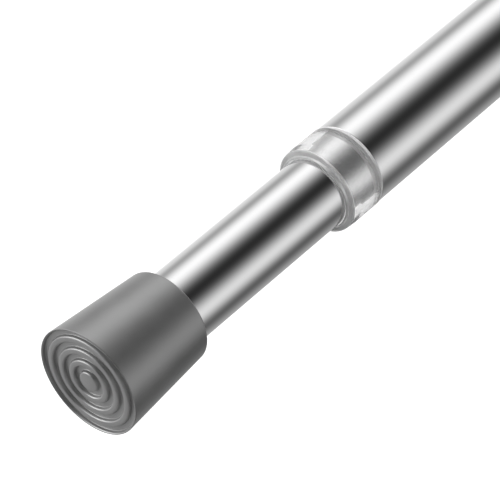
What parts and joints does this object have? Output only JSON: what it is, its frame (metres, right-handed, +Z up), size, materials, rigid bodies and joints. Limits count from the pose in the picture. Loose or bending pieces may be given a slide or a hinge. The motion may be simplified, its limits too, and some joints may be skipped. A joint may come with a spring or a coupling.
{
  "type": "spring tension rod",
  "caption": "Telescoping chrome tension rod with ringed rubber feet, a clear end collar, a twist lock and a push spring inside.",
  "frame": {"origin": "centre of the fixed foot's wall face, on the rod's axis", "axes": "+X along the rod from the fixed foot to the moving foot, +Z up"},
  "size_m": [0.436, 0.0226, 0.0226],
  "materials": {
    "chrome_tube": "polished",
    "clear_plastic": "clear, glossy",
    "grey_rubber": "satin",
    "black_rubber": "matt",
    "white_plastic": "moulded",
    "black_plastic": "moulded",
    "zinc_steel": "zinc plated",
    "spring_steel": "drawn wire"
  },
  "bodies": {
    "outer": {"outer_tube": "chrome_tube", "tube_collar": "clear_plastic", "outer_foot": "grey_rubber", "outer_foot_plug": "white_plastic"},
    "lock": {"lock_sleeve": "white_plastic", "friction_ring": "black_rubber"},
    "wedge": {"cone_nut": "black_plastic"},
    "screw": {"lock_rod": "zinc_steel", "thrust_washer": "zinc_steel", "retaining_clip": "spring_steel", "stop_nut": "zinc_steel", "stop_pin": "spring_steel", "spring_washer": "zinc_steel"},
    "inner": {"inner_tube": "chrome_tube", "end_bush": "black_plastic", "spring": "spring_steel", "spring_seat": "black_plastic", "seat_pin": "spring_steel", "inner_foot": "grey_rubber", "inner_foot_plug": "white_plastic"}
  },
  "joints": [
    {"name": "telescope", "type": "slide", "parent": "outer", "child": "lock", "axis": [1, 0, 0], "range_m": [-0.0165, 0.164]},
    {"name": "twist", "type": "hinge", "parent": "lock", "child": "screw", "pos_m": [0.11, 0, 0], "axis": [-1, 0, 0], "range_deg": [0, 540]},
    {"name": "wedge_travel", "type": "slide", "parent": "lock", "child": "wedge", "axis": [1, 0, 0], "range_m": [0, 0.0031]},
    {"name": "spring_push", "type": "slide", "parent": "screw", "child": "inner", "axis": [-1, 0, 0], "range_m": [0, 0.02], "stiffness_N_per_m": 2400, "springref_m": -0.006, "deforming": ["spring"]}
  ],
  "couplings": [
    {"joint": "wedge_travel", "follows": "twist", "m_per_rad": 0.00031831}
  ]
}
